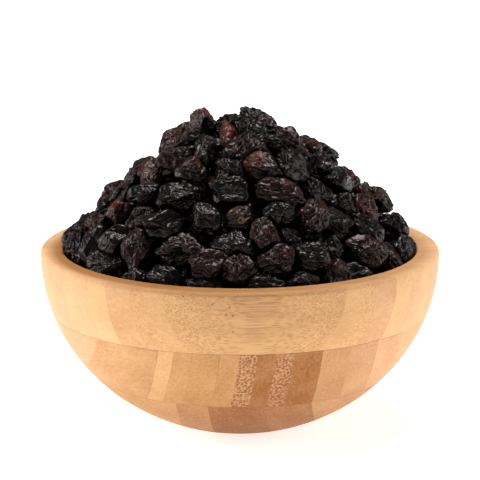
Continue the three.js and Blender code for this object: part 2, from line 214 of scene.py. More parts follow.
# Flats that show from the front, by rows: which way each looks (across, up and to the viewer), how far
# out it lies in shares of the size, and how deep it is dished
FRONT_FLATS = {
    16: ((-0.25, 0.75, 0.6, 0.62, 0.06), (0.1, -0.55, 0.8, 0.72, 0)),
    17: ((0, 0.8, 0.6, 0.66, 0.1), (-0.3, -0.3, 0.9, 0.7, 0.12)),
    19: ((-0.5, 0.6, 0.6, 0.58, 0.05), (0.7, 0.2, 0.7, 0.6, 0)),
    21: ((0.75, -0.1, 0.65, 0.42, 0.3), (-0.8, 0.3, 0.5, 0.62, 0.05)),
    24: ((0.1, 0.35, 0.93, 0.66, 0.03), (0, -0.9, 0.4, 0.72, 0)),
    38: ((-0.3, 0.5, 0.8, 0.66, 0.05), (0.6, -0.4, 0.7, 0.7, 0)),
    45: ((-0.2, 0.3, 0.93, 0.64, 0.08), (0.3, -0.8, 0.5, 0.72, 0)),
    50: ((0.3, -0.2, 0.93, 0.62, 0), (-0.2, 0.8, 0.55, 0.66, 0.04)),
    54: ((-0.2, 0.7, 0.7, 0.64, 0.02), (0.4, -0.3, 0.85, 0.68, 0)),
}
# Raisins that are red at one end only: from where to where along them it fades in
RED_TIPS = {21: (0, 4), 33: (-1, 4)}
# Scars that show from the front: millimetres across and up from the raisin's middle
FRONT_SCARS = {0: (2.3, 3.8), 4: (6.2, -1.9), 18: (3, 2.3), 29: (0.8, 0), 55: (0, 1.5)}

# How often the ball that a raisin is pressed from is divided, by layers, and the raisins in a piece
TOP_DIVISIONS = 5
LOWER_DIVISIONS = 4
DEEP_DIVISIONS = 3
RAISINS_PER_PIECE = 32
# The ball's points are drawn towards the side that shows by this share of its radius.
SHOWN_BIAS = 0.45
# Each raisin reads the patterns so many millimetres on.
PATTERN_STEP = 40
# The radius of the discs that a skin is laid out on, in shares of their cell
DISC_RADIUS = 0.45

# Broad lumps, as in the part's source: how many, how high in shares of the size, how closely set
LUMP_WAVES = 3
LUMP_HEIGHT = 0.075
LUMP_PITCH = (2.2, 4.4)
# Flats where a raisin has dried against others: how many, how far out they are in shares of its size,
# how they are spread and how sharply they meet, its fullness without them, and how they are dished
FLATS = 8
FLAT_DISTANCE = (0.76, 1.06)
FLAT_SHARPNESS = 26
FLAT_SPREADING = 12
SPREADING_STEP = 0.05
FULLNESS = 1.2
DISHING = (0, 0.13)
DISH_WIDTH = 0.42
# Hollows: how many, how wide in shares of the raisin's size, and how deep
HOLLOWS = 4
HOLLOW_WIDTH = (0.25, 0.6)
HOLLOW_DEPTH = (0.04, 0.22)
# Furrows along the raisin: how many, how much each looks along it, across it and out, how wide and
# deep they are and how far from the middle, in the same shares
FURROWS = 3
FURROW_FACING = (0.3, 1, 1)
FURROW_WIDTH = (0.07, 0.16)
FURROW_DEPTH = (0.05, 0.14)
FURROW_PLACE = 0.6
# Reliefs of crossing waves: wavelength, height, and how much longer they are along the raisin than
# across. The furrows' bend is in shares of the size, the rest in millimetres.
Relief = namedtuple("Relief", "wavelength height stretch")
FURROW_BEND = Relief(2, 0.08, 1)
DRIFT = Relief(6.5, 0.9, 1)
FOLDS = Relief(2.9, 0.42, 3)
WRINKLES = Relief(1.5, 0.17, 3.2)
FIELD_WAVES = 9
FIELD_PITCH = (0.75, 1.3)
# How round the crests of the folds and the wrinkles are, and the folds' share in how a crease looks
FOLD_ROUNDING = 0.02
WRINKLE_ROUNDING = 0.03
FOLD_SHARE = 0.55
# A scar, where the stalk was, is a pit with a raised edge and a tan ring: how wide and deep it is, and
# where and how sharp its edge and its ring are, in shares of that width.
SCAR_WIDTH = 1
SCAR_DEPTH = 0.5
SCAR_EDGE = 1.2
SCAR_EDGE_HEIGHT = 0.4
SCAR_EDGE_SHARPNESS = 6
SCAR_RING = 0.75
SCAR_RING_WIDTH = 0.32
# The share of the loose raisins with one, and how far from the end it may lie
SCARRED_SHARE = 0.25
SCAR_PLACE = 0.25
# The share of their size that stays between two raisins, and how finely its place is sought
PRESSED_GAP = 0.02
HALVINGS = 8

# A skin's colours, as light values
PITCH_BLACK = (0.0012, 0.0008, 0.0009, 1)
RIDGE_BLACK = (0.0105, 0.0064, 0.006, 1)
DEEP_BROWN = (0.0025, 0.0011, 0.0009, 1)
RIDGE_BROWN = (0.072, 0.028, 0.0205, 1)
BLOOM_BLUE = (0.0085, 0.0096, 0.0112, 1)
WINE_RED = (0.085, 0.017, 0.011, 1)
STALK_TAN = (0.25, 0.125, 0.055, 1)
FLECK_WHITE = (0.75, 0.72, 0.68, 1)
SHEEN_TINT = (1, 0.85, 0.83, 1)
# Patterns in it: how many there are in a millimetre, their detail, and how rough that is
BROWN_CLOUDS = (0.2, 2, 0.5)
RED_CLOUDS = (0.18, 2, 0.5)
BLOOM_PATCHES = (0.25, 2, 0.5)
GRAIN = (1.6, 4, 0.6)
CRESTS = {"Scale": 0.55, "Detail": 1.5, "Roughness": 0.4, "Offset": 1, "Gain": 1, "Distortion": 0.5}
CREST_STRETCH = (0.45, 1, 1)
# What is made of them: from where to where a pattern counts, and what it gives at those two ends
BROWN_SHARE = (0.3, 0.6, 0.5, 1)
RED_SHARE = (0.35, 0.6, 0.3, 1)
BLOOM_SHARE = (0.4, 0.65, 0, 0.7)
CREST_HEIGHT = (0.2, 1.1, 0, 1)
# Crests lighter and creases and furrows darker in colour: partly the skin's own colour, partly painted light
# on the crests and painted shade in the creases.
CREST_LIGHT = (0, 1, 0.5, 1.2)
RIDGE_HEIGHT = (-0.35, 0.8, 0, 1)
RIDGE_SHARPNESS = 3.3
SCAR_STAIN = (0.3, 0.6, 0.5, 1)
SKIN_ROUGHNESS = (0.3, 0.7, 0.28, 0.47)
# Painted shade: the sides that look down are darker.
UNDERSIDE_SHADE = (0.78, -0.2, 0, 0.92)
# White flecks: how many places for one a millimetre has and how scattered they are, the share of them that
# has one, and how wide it is in shares of the distance between them
FLECK_PLACES = (0.42, 1)
FLECK_SHARE = 0.035
FLECK_WIDTH = (0.11, 0.07)
# How much rougher a scar is, how much smoother the shiniest skin, and the fine relief of all
SCAR_ROUGHNESS = 0.3
SHINE_SMOOTHNESS = 0.12
GRAIN_HEIGHT = 0.2
SKIN_BUMP = (0.3, 0.4 * MM)
SKIN_SPECULAR = 0.21

# How far each board's fibres are turned from X, in degrees
TOP_GRAIN = 4.5
MIDDLE_GRAIN = -76
BASE_GRAIN = -95
# Each board's strips: where each starts across the grain in millimetres, how light it is, how much its
# fibres show, how red it is, and how dark the glue before it. Without glue, it is a soft change. The strips
# towards the left and right of the front are lighter: partly the bamboo's own tone, partly painted light on
# those sides.
TOP_STRIPS = (
    (-90, 0.42, 0.62, 0.35, 0), (-74.5, 0.49, 0.5, 0.2, 0.08), (-71.5, 0.48, 0.6, 0.2, 0),
    (-67.6, 0.59, 0.25, 0.25, 0.08), (-64.5, 0.57, 0.55, 0.25, 0), (-60.7, 0.6, 0.1, 0.5, 0.12),
    (-53.8, 0.76, 0.1, 0.35, 0.2), (-46.9, 0.76, 0.1, 0.55, 0.08), (-40, 0.78, 0.15, 0.4, 0.06),
    (-33.1, 0.76, 0.15, 0.65, 0.08), (-26.2, 0.74, 0.25, 0.5, 0.08), (-12.4, 0.76, 0.2, 0.6, 0.12),
    (1.4, 0.66, 0.4, 0.35, 0.12), (15.2, 0.7, 0.2, 0.55, 0.1), (29, 0.64, 0.5, 0.35, 0.12),
    (42.8, 0.7, 0.2, 0.4, 0.1), (56.6, 0.6, 0.6, 0.4, 0.1), (67.4, 0.64, 0.2, 0.5, 0.12),
)
MIDDLE_STRIPS = (
    (-90, 0.64, 0.15, 0.6, 0), (-62, 0.49, 0.2, 0.4, 0.06), (-52, 0.42, 0.25, 0.25, 0),
    (-47, 0.4, 0.2, 0.45, 0), (-44, 0.6, 0.1, 0.3, 0.4), (-39.2, 0.38, 0.2, 0.15, 0.12),
    (-33.2, 0.33, 0.25, 0.05, 0.12), (-24, 0.33, 0.1, 0.15, 0.5), (-17.2, 0.21, 1.3, 0.5, 0.15),
    (-11, 0.09, 0.1, 0.6, 0.12), (-4.5, 0.15, 1.3, 0.6, 0.12), (2.2, 0.08, 0.15, 0.5, 0.12),
    (13, 0.38, 0.15, 0.45, 0.55), (24.5, 0.46, 0.15, 0.55, 0.06), (36.1, 0.62, 0.15, 0.6, 0.15),
    (48, 0.62, 0.3, 0.35, 0.1), (60, 0.68, 0.2, 0.5, 0.1),
)
BASE_STRIPS = (
    (-90, 0.46, 0.2, 0.35, 0), (-18.7, 0.3, 0.5, 0.45, 0.2), (-6.7, 0.06, 0.7, 0.7, 0.2),
    (14, 0.14, 0.4, 0.6, 0.1), (30.2, 0.42, 0.3, 0.45, 0.2),
)
# How far apart each board's fibres are across the grain and up, in millimetres
TOP_FIBRES = (0.37, 0.8)
MIDDLE_FIBRES = (1.05, 1.05)
BASE_FIBRES = (0.7, 0.9)
# A fibre's outer and inner edge in shares of those steps, how much thicker the strongest are, how
# unevenly they are set, and how far they wander in millimetres
FIBRE_WIDTH = (0.34, 0.14)
FIBRE_GROWTH = 0.14
FIBRE_SCATTER = 0.85
FIBRE_WANDER = 0.9
# How far a change of looks spreads, how wide a line of glue is, and how dark it is between boards
SEAM_SOFTNESS = 0.06
FADE_SOFTNESS = 1.3
GLUE_WIDTH = 0.3
BOARD_GLUE = 0.25
# Patterns in the wood: their length along the fibres and their width in millimetres, their detail,
# and how rough that is
WANDER = (22, 5, 1, 0.5)
STREAKS = (34, 1.1, 3, 0.6)
CLOUDS = (40, 10, 2, 0.5)
WORN_FIBRES = (4, 2.2, 2, 0.5)
WORN_GLUE = (9, 9, 2, 0.5)
# The streaks and clouds start anew in each strip.
STRIP_SHIFT = 7.31
# What is made of them, as above
STREAK_TONE = (0.25, 0.75, -0.11, 0.11)
CLOUD_TONE = (0.3, 0.7, -0.07, 0.07)
FIBRE_TONE = 0.14
FIBRE_DARKNESS = 0.6
FIBRE_WEAR = (0.34, 0.54, 0.35, 1)
GLUE_WEAR = (0.42, 0.6, 0, 1)
WOOD_ROUGHNESS = (0.2, 0.8, 0.55, 0.66)
WOOD_BUMP = (0.25, 0.12 * MM)
WOOD_SPECULAR = 0.16
# Dark specks on the bowl's front: millimetres across, up and wide
SPECKS = (
    (-4.9, 58.3, 0.6), (-3.7, 61.1, 0.5), (-2.5, 57.9, 0.6),
    (-2.4, 51.8, 0.5), (-20, 64.4, 0.5), (-9.7, 61.8, 0.5),
)
SPECK_DARKNESS = 0.6
# Painted shade on the rim, darker towards the mouth beside the raisins, in a ring a little off the axis: its
# middle, how it grows towards the mouth and up to the rim, and how it fades along the grain
MOUTH_SHADE_MIDDLE = (0, -4, 0)
MOUTH_SHADE_REACH = (6.5, 2.2)
MOUTH_SHADE_RISE = (-2, -1)
MOUTH_SHADE_FADING = (-30, 70, 0.87, 0.4)

# Colours of bamboo, as light values
GOLD_DARK = (0.29, 0.115, 0.024, 1)
GOLD_LIGHT = (0.8, 0.49, 0.22, 1)
RED_DARK = (0.25, 0.078, 0.014, 1)
RED_LIGHT = (0.8, 0.46, 0.27, 1)
FIBRE_BROWN = (0.18, 0.058, 0.017, 1)
GLUE_BROWN = (0.16, 0.065, 0.028, 1)

# The lights: degrees round from the front to the right, and up, strength, and width in degrees
SOFT_SUNS = (
    ("ceiling", 180, 80, 3.5, 26),
    ("left_side", -93, 16, 1.95, 36),
    ("right_side", 93, 16, 1.1, 36),
)
WORLD_STRENGTH = 0.15
WHITE = (1, 1, 1, 1)
# The floor is a table lit from below: half its width in metres, and its looks
FLOOR_REACH = 6
FLOOR_LOOKS = {
    "Base Color": (0.93, 0.93, 0.93, 1), "Roughness": 0.9, "Emission Color": WHITE, "Emission Strength": 0.7,
}

view_up = Vector((0, sin(VIEW_ELEVATION), cos(VIEW_ELEVATION)))
to_viewer = Vector((0, -view_up.z, view_up.y))
view_right = Vector((1, 0, 0))
rim_middle = Vector((0, 0, BOWL_HEIGHT))


def add_object(name, data):
    obj = bpy.data.objects.new(name, data)
    bpy.context.scene.collection.objects.link(obj)
    return obj


def camera():
    data = bpy.data.cameras.new("camera")
    data.lens = CAMERA_LENS
    obj = add_object("camera", data)
    obj.location = Vector((0, 0, AIM_HEIGHT)) + to_viewer * CAMERA_DISTANCE
    obj.rotation_euler = (-to_viewer).to_track_quat("-Z", "Y").to_euler()
    bpy.context.scene.camera = obj


# Laying the raisins, as the part's source lays them, in millimetres


def heap_height(r):
    """The height of the raisins' tips at a distance from the axis"""
    return BOWL_HEIGHT + HEAP_RISE * (1 - (r / HEAP_REACH) ** HEAP_CURVE)


def heap_normal(x, y):
    """The heap's outward normal over a point of the plan"""
    r = max(hypot(x, y), NEAREST_AXIS)
    fall = HEAP_RISE * HEAP_CURVE * (r / HEAP_REACH) ** (HEAP_CURVE - 1) / HEAP_REACH
    return Vector((fall * x / r, fall * y / r, 1)).normalized()


def under_tips(x, y, depth):
    """A point at a depth under the surface of the tips"""
    return Vector((x, y, heap_height(hypot(x, y)))) - heap_normal(x, y) * depth


class Draws:
    """The same numbers from 0 to 1 as the part's source draws"""

    def __init__(self, seed):
        self.state = seed

    def draw(self):
        self.state = (self.state * DRAW_FACTOR + DRAW_STEP) % DRAW_RANGE
        return self.state / DRAW_RANGE

    def between(self, ends):
        return ends[0] + (ends[1] - ends[0]) * self.draw()

    def raisin_size(self):
        return tuple(self.between(ends) for ends in (RAISIN_LENGTH, RAISIN_WIDTH, RAISIN_THICKNESS))

    def loose_skin(self):
        return LOOSE_SKINS[int(len(LOOSE_SKINS) * self.draw())]


class Raisin:
    """Its middle, its directions along, across and through it, its size and its lumps"""

    def __init__(self, middle, along, facing, size, draws):
        self.middle = middle
        self.along = along
        self.side = facing.cross(along).normalized()
        self.out = along.cross(self.side).normalized()
        self.size = size
        self.half = np.array(size) / 2
        self.home = None
        self.skin = BLACK
        self.waves = []
        for _ in range(LUMP_WAVES):
            direction = [draws.draw() - 0.5 for _ in range(3)]
            pitch = draws.between(LUMP_PITCH)
            self.waves.append((Vector(direction).normalized(), pitch, 2 * pi * draws.draw()))

    def shares(self, direction):
        """A direction's parts along, across and through the raisin"""
        return direction.dot(self.along), direction.dot(self.side), direction.dot(self.out)

    def from_view(self, across, up, near):
        """Such parts of a direction of the front view"""
        return np.array(self.shares(view_right * across + view_up * up + to_viewer * near))

    def reach(self, direction):
        """From the middle to the skin in a direction"""
        a, b, c = (share / size for share, size in zip(self.shares(direction), self.size))
        return 0.5 / sqrt(a * a + b * b + c * c)

    def half_breadth(self, direction):
        """Half its breadth, measured along a direction"""
        a, b, c = (share * size for share, size in zip(self.shares(direction), self.size))
        return 0.5 * sqrt(a * a + b * b + c * c)

    def directions(self):
        """Its own directions as a matrix's rows"""
        return np.array((self.along, self.side, self.out))


def seen_place(across, up):
    """Where the line of sight at a place of the front view meets the middles"""
    depth = sum(MIDDLE_DEPTH) / 2
    near = -sqrt(max(0, mouth_radius**2 - across**2))
    far = 0
    for _ in range(SIGHT_STEPS):
        y = (near + far) / 2
        if (under_tips(across, y, depth) - rim_middle).dot(view_up) < up:
            near = y
        else:
            far = y
    middle = under_tips(across, near, depth)
    return near, middle + view_up * (up - (middle - rim_middle).dot(view_up))


def front_raisin(row, draws):
    """A raisin laid as it is seen from the front"""
    across, up, length, width, turn, skin = row
    y, middle = seen_place(across, up)
    facing = heap_normal(across, y).lerp(to_viewer, FACING_VIEWER).normalized()
    uphill = (view_up - facing * view_up.dot(facing)).normalized()
    level = uphill.cross(facing).normalized()
    angle = radians(turn)
    along = (level * cos(angle) + uphill * sin(angle)).normalized()
    placed = Raisin(middle, along, facing, (length, width, width * FRONT_FLATNESS), draws)
    placed.home = (across, up)
    placed.skin = skin
    return placed


def room(middle, size, others):
    """The free room round a place, in shares of what two raisins need"""
    return min(
        (middle - other.middle).length * 4 / (size[0] + size[1] + other.size[0] + other.size[1])
        for other in others
    )


def loose_raisin(others, draws):
    """A raisin at the freest of a few places drawn over the heap"""
    size = draws.raisin_size()
    depth = draws.between(MIDDLE_DEPTH)
    best = (0, 0)
    most = -1
    for _ in range(TRIES_PER_RAISIN):
        r = mouth_radius * sqrt(draws.draw())
        angle = 2 * pi * draws.draw()
        place = (r * cos(angle), r * sin(angle))
        free = room(under_tips(*place, depth), size, others)
        if free > most:
            most = free
            best = place
    return lying_raisin(best, depth, size, draws)


def lying_raisin(place, depth, size, draws):
    """A raisin that lies on the slope, turned and tilted by a draw"""
    normal = heap_normal(*place)
    level = Vector((0, 1, 0)).cross(normal).normalized()
    uphill = normal.cross(level)
    turn = pi * draws.draw()
    along = level * cos(turn) + uphill * sin(turn)
    tilt = radians(LARGEST_TILT) * (2 * draws.draw() - 1)
    along = (along * cos(tilt) + normal * sin(tilt)).normalized()
    return Raisin(under_tips(*place, depth), along, normal, size, draws)


def press_apart(one, other):
    """Two raisins that overlap move apart by half of it."""
    apart = other.middle - one.middle
    distance = apart.length
    if distance > FARTHEST_TOUCH:
        return
    apart /= distance
    overlap = CONTACT * (one.reach(apart) + other.reach(apart)) - distance
    if overlap > 0:
        one.middle -= apart * (overlap / 4)
        other.middle += apart * (overlap / 4)


def outline_at(across):
    return float(np.interp(across, *zip(*OUTLINE)))


def over_outline(placed):
    """How far a raisin rises over the heap's outline"""
    seen_up = (placed.middle - rim_middle).dot(view_up)
    breadth = placed.half_breadth(view_right)
    height = placed.half_breadth(view_up)
    return max(
        seen_up + height * sqrt(1 - share * share) - outline_at(placed.middle.x + breadth * share)
        for share in OUTLINE_PROBES
    )


def keep_where_seen(placed):
    across = placed.middle.x - placed.home[0]
    up = (placed.middle - rim_middle).dot(view_up) - placed.home[1]
    away = hypot(across, up)
    if away > FRONT_RAISIN_PLAY:
        back = 1 - FRONT_RAISIN_PLAY / away
        placed.middle.x -= across * back
        placed.middle -= view_up * (up * back)


def keep_near_surface(placed):
    """The middle stays within its depths under the tips, and the raisin rooted in the core."""
    middle = placed.middle
    normal = heap_normal(middle.x, middle.y)
    r = hypot(middle.x, middle.y)
    depth = (heap_height(r) - middle.z) * normal.z
    rooted = CORE_DEPTH + ROOT_DEPTH - placed.reach(normal)
    dip = 0 if placed.home else CROWN_DIP * max(0, 1 - r / CROWN_RADIUS)
    least = FRONT_MIDDLE_DEPTH if placed.home else MIDDLE_DEPTH[0]
    wanted = min(MIDDLE_DEPTH[1] + dip, max(least + dip, rooted + dip, depth))
    placed.middle += normal * (depth - wanted)


def keep_inside_rim(placed):
    middle = placed.middle
    r = hypot(middle.x, middle.y)
    outward = Vector((middle.x / r, middle.y / r, 0))
    over = r + placed.half_breadth(outward) - mouth_radius
    if over > 0:
        placed.middle -= outward * over


def keep_in_place(placed):
    if placed.home:
        keep_where_seen(placed)
    keep_near_surface(placed)
    keep_inside_rim(placed)
    if not placed.home:
        placed.middle -= view_up * max(0, over_outline(placed))


def top_raisins():
    """The raisins of the front, and others where there is room"""
    draws = Draws(SEED)
    placed = [front_raisin(row, draws) for row in FRONT_RAISINS]
    while len(placed) < TOP_RAISINS:
        placed.append(loose_raisin(placed, draws))
    for _ in range(SETTLING_ROUNDS):
        for i, one in enumerate(placed):
            for other in placed[i + 1 :]:
                press_apart(one, other)
        for one in placed:
            keep_in_place(one)
    for one in placed[len(FRONT_RAISINS) :]:
        one.skin = draws.loose_skin()
    return placed


def lower_raisins():
    """The layer under those, spread evenly by the golden angle"""
    draws = Draws(SEED + 1)
    golden = pi * (3 - sqrt(5))
    placed = []
    for i in range(LOWER_RAISINS):
        r = (mouth_radius - RAISIN_WIDTH[0] / 2) * sqrt((i + 0.5) / LOWER_RAISINS)
        place = (r * cos(i * golden), r * sin(i * golden))
        size = draws.raisin_size()
        placed.append(lying_raisin(place, draws.between(LOWER_DEPTH), size, draws))
        placed[-1].skin = draws.loose_skin()
    return placed


def inner_radius(z):
    return mouth_radius * sqrt(max(0, 1 - ((BOWL_HEIGHT - z) / hollow_depth) ** 2))


def has_deep_room(x, y, z):
    """Whether a raisin fits at a place under the layers that show"""
    r = hypot(x, y)
    if r >= HEAP_REACH:
        return False
    under_skin = (heap_height(r) - z) * heap_normal(x, y).z
    return under_skin >= DEEP_UNDER and r <= inner_radius(min(z, BOWL_HEIGHT)) - RAISIN_WIDTH[1] / 2


def deep_raisins():
    draws = Draws(SEED + 2)
    placed = []
    rows = range(-DEEP_ROWS, DEEP_ROWS + 1)
    for layer in range(DEEP_LAYERS):
        z = FLOOR_THICKNESS + (layer + 0.5) * DEEP_STEPS[2]
        for row in rows:
            y = (row + 0.5 * (layer % 2)) * DEEP_STEPS[1]
            for column in rows:
                x = (column + 0.5 * (row % 2)) * DEEP_STEPS[0]
                if has_deep_room(x, y, z):
                    placed.append(tumbled_raisin(Vector((x, y, z)), draws))
    return placed


def tumbled_raisin(middle, draws):
    """A level raisin, turned and rolled by a draw"""
    size = draws.raisin_size()
    turn = pi * draws.draw()
    roll = pi * draws.draw()
    along = Vector((cos(turn), sin(turn), 0))
    across = Vector((-sin(turn), cos(turn), 0))
    facing = across * cos(roll) + Vector((0, 0, sin(roll)))
    placed = Raisin(middle, along, facing, size, draws)
    placed.skin = draws.loose_skin()
    return placed


# Shaping a raisin from the points of a ball, in its own directions


def unit(vectors):
    return vectors / np.linalg.norm(vectors, axis=-1, keepdims=True)


def waves(rng, relief):
    """Crossing waves: an aimless relief of about 1 up and down"""
    directions = unit(rng.normal(size=(FIELD_WAVES, 3)))
    pitches = directions * rng.uniform(*FIELD_PITCH, (FIELD_WAVES, 1)) * 2 * pi / relief.wavelength
    pitches[:, 0] /= relief.stretch
    phases = rng.uniform(0, 2 * pi, FIELD_WAVES)
    return lambda points: np.sin(points @ pitches.T + phases).sum(axis=1) * sqrt(2 / FIELD_WAVES)


def spread(directions):
    """Directions pushed apart, a little at a time"""
    for _ in range(FLAT_SPREADING):
        apart = directions[:, None] - directions[None]
        near = (apart**2).sum(axis=2, keepdims=True) + SPREADING_STEP
        directions = unit(directions + SPREADING_STEP * (apart / near**1.5).sum(axis=1))
    return directions


def dried_flats(raisin, rng):
    """Which way each flat looks, how far out it is and how deeply dished"""
    flats = spread(unit(rng.normal(size=(FLATS, 3))))
    far = rng.uniform(*FLAT_DISTANCE, FLATS)
    dishes = rng.uniform(*DISHING, FLATS)
    for across, up, near, distance, dish in FRONT_FLATS.get(raisin.number, ()):
        flats = np.vstack((flats, unit(raisin.from_view(across, up, near) * raisin.half)))
        far = np.append(far, distance)
        dishes = np.append(dishes, dish)
    return flats, far, dishes


def dried_shape(ball, raisin, rng):
    """How far out the skin is at the ball's points, before it is creased"""
    flats, far, dishes = dried_flats(raisin, rng)
    facing = np.maximum(ball @ flats.T, 0) / far
    swell = (FULLNESS**-FLAT_SHARPNESS + (facing**FLAT_SHARPNESS).sum(axis=1)) ** (-1 / FLAT_SHARPNESS)
    for flat, dish in zip(flats, dishes):
        swell -= dish * np.exp(-((ball - flat) ** 2).sum(axis=1) / DISH_WIDTH**2)
    for direction, pitch, phase in raisin.waves:
        swell += LUMP_HEIGHT * np.sin(pitch * (ball @ np.array(direction)) + phase)
    for hollow in unit(rng.normal(size=(HOLLOWS, 3))):
        near = ((ball - hollow) ** 2).sum(axis=1) / rng.uniform(*HOLLOW_WIDTH) ** 2
        swell -= rng.uniform(*HOLLOW_DEPTH) * np.exp(-near)
    return swell


def furrows(ball, rng):
    """How deep the furrows are at the ball's points"""
    bend = waves(rng, FURROW_BEND)(ball) * FURROW_BEND.height
    depth = np.zeros(len(ball))
    for furrow in unit(rng.normal(size=(FURROWS, 3)) * FURROW_FACING):
        away = ball @ furrow - rng.uniform(-FURROW_PLACE, FURROW_PLACE) + bend
        deepest = rng.uniform(*FURROW_DEPTH)
        depth += deepest * np.exp(-((away / rng.uniform(*FURROW_WIDTH)) ** 2))
    return depth


def creases(points, rng):
    """The folds and the finer wrinkles, highest on their crests"""
    drift = np.stack([waves(rng, DRIFT)(points) for _ in range(3)], axis=1) * DRIFT.height
    fold = 1 - np.sqrt(waves(rng, FOLDS)(points + drift) ** 2 + FOLD_ROUNDING)
    wrinkle = 1 - np.sqrt(waves(rng, WRINKLES)(points + drift) ** 2 + WRINKLE_ROUNDING)
    return fold, wrinkle


def scar_direction(raisin, rng):
    """Where on the ball a raisin's scar is, or None"""
    if raisin.number in FRONT_SCARS:
        a = raisin.from_view(*FRONT_SCARS[raisin.number], 0) / raisin.half
        b = raisin.from_view(0, 0, 1) / raisin.half
        spare = (a @ b) ** 2 - (b @ b) * (a @ a - 1)
        return unit(a + b * (sqrt(max(0, spare)) - a @ b) / (b @ b))
    if len(FRONT_RAISINS) <= raisin.number < TOP_RAISINS and rng.uniform() < SCARRED_SHARE:
        return unit(np.array((1, *rng.uniform(-SCAR_PLACE, SCAR_PLACE, 2))))
    return None


def scarred(relief, ball, raisin, place):
    """A relief with a scar's pit and edge in it, and the scar's ring"""
    if place is None:
        return relief, np.zeros(len(ball))
    away = np.linalg.norm((ball - place) * raisin.half, axis=1) / SCAR_WIDTH
    pit = np.exp(-(away**4))
    edge = SCAR_EDGE_HEIGHT * np.exp(-SCAR_EDGE_SHARPNESS * (away - SCAR_EDGE) ** 2)
    ring = np.exp(-(((away - SCAR_RING) / SCAR_RING_WIDTH) ** 2))
    return relief * (1 - pit) + SCAR_DEPTH * (edge - pit), ring


def shrivel(ball, raisin):
    """A skin's points about its middle, how high it is creased there, and its scar"""
    rng = np.random.default_rng((SEED, raisin.number))
    wrinkled = raisin.skin.wrinkled
    swell = dried_shape(ball, raisin, rng)
    depth = furrows(ball, rng)
    points = ball * raisin.half * (swell - wrinkled * depth)[:, None]
    fold, wrinkle = creases(points, rng)
    relief = wrinkled * (FOLDS.height * fold + WRINKLES.height * wrinkle)
    relief -= relief.mean()
    relief, ring = scarred(relief, ball, raisin, scar_direction(raisin, rng))
    crease = FOLD_SHARE * fold + (1 - FOLD_SHARE) * wrinkle - depth / FURROW_DEPTH[1]
    return points + unit(ball / raisin.half) * relief[:, None], crease, ring


def inside(points, raisin):
    """How far out points are in a raisin: 1 is its skin"""
    own = (points - np.array(raisin.middle)) @ raisin.directions().T
    return np.linalg.norm(own / raisin.half, axis=1)


def press(points, raisin, others):
    """Points that would be in another raisin go back to where the two share the room."""
    middle = np.array(raisin.middle)
    for other in others:
        if other is raisin or (other.middle - raisin.middle).length > FARTHEST_TOUCH:
            continue
        close = inside(points, raisin) + PRESSED_GAP > inside(points, other)
        if not close.any():
            continue
        rays = points[close] - middle
        own = inside(points[close], raisin)
        low = np.zeros(len(rays))
        high = low + 1
        for _ in range(HALVINGS):
            share = (low + high) / 2
            free = own * share + PRESSED_GAP < inside(middle + rays * share[:, None], other)
            low = np.where(free, share, low)
            high = np.where(free, high, share)
        points[close] = middle + rays * low[:, None]


def keep_in_bowl(points):
    """Points under the rim stay a gap inside the wall."""
    below = np.clip((BOWL_HEIGHT - points[:, 2]) / hollow_depth, 0, DEEPEST_SHARE)
    wall = mouth_radius * np.sqrt(1 - below**2) - GAP_TO_BOWL
    r = np.hypot(points[:, 0], points[:, 1])
    held = np.minimum(1, wall / np.maximum(r, 1))
    share = np.where(points[:, 2] < BOWL_HEIGHT + RIM_ROUNDING, held, 1)
    points[:, :2] *= share[:, None]


# Meshes of the raisins


def smooth_object(name, bm):
    """A smoothly shaded object"""
    mesh = bpy.data.meshes.new(name)
    bm.to_mesh(mesh)
    bm.free()
    mesh.shade_smooth()
    return add_object(name, mesh)


def balls(name, count, divisions):
    """An object of some balls, all in one place"""
    bm = bmesh.new()
    for _ in range(count):
        bmesh.ops.create_icosphere(bm, subdivisions=divisions, radius=1)
    return smooth_object(name, bm)


def vertex_places(mesh):
    places = np.empty(len(mesh.vertices) * 3)
    mesh.vertices.foreach_get("co", places)
    return places.reshape(-1, 3)


def ball_map(mesh, count):
    """A map of the balls: two discs for each, its upper and lower half, in a grid"""
    corners = np.empty(len(mesh.loops), np.int32)
    mesh.loops.foreach_get("vertex_index", corners)
    corner = vertex_places(mesh)[corners]
    centre = corner.reshape(-1, 3, 3).mean(axis=1)
    upper = np.repeat(centre[:, 2] > 0, 3)
    height = np.where(upper, corner[:, 2], -corner[:, 2])
    disc = corner[:, :2] / np.sqrt(1 + height)[:, None]
    columns = ceil(sqrt(2 * count))
    cell = 2 * np.repeat(np.arange(count), len(corners) // count) + upper
    grid = np.stack((cell % columns, cell // columns), axis=1)
    return (grid + 0.5 + disc * DISC_RADIUS) / columns


def raisin_skin(ball, raisin, place, others):
    """A skin's points, and their places, colours and relief for the material"""
    shown = np.array(raisin.shares(heap_normal(raisin.middle.x, raisin.middle.y)))
    skin, crease, ring = shrivel(unit(unit(ball) + SHOWN_BIAS * shown), raisin)
    points = skin @ raisin.directions() + np.array(raisin.middle)
    press(points, raisin, others)
    keep_in_bowl(points)
    looks = raisin.skin
    colours = np.tile((looks.brown, looks.blue, looks.red, 1.0), (len(skin), 1))
    if raisin.number in RED_TIPS:
        colours[:, 2] *= np.interp(skin[:, 0], RED_TIPS[raisin.number], (0, 1))
    relief = np.stack((crease, ring, np.full(len(skin), looks.shine)), axis=1)
    return points, skin + PATTERN_STEP * place, colours, relief


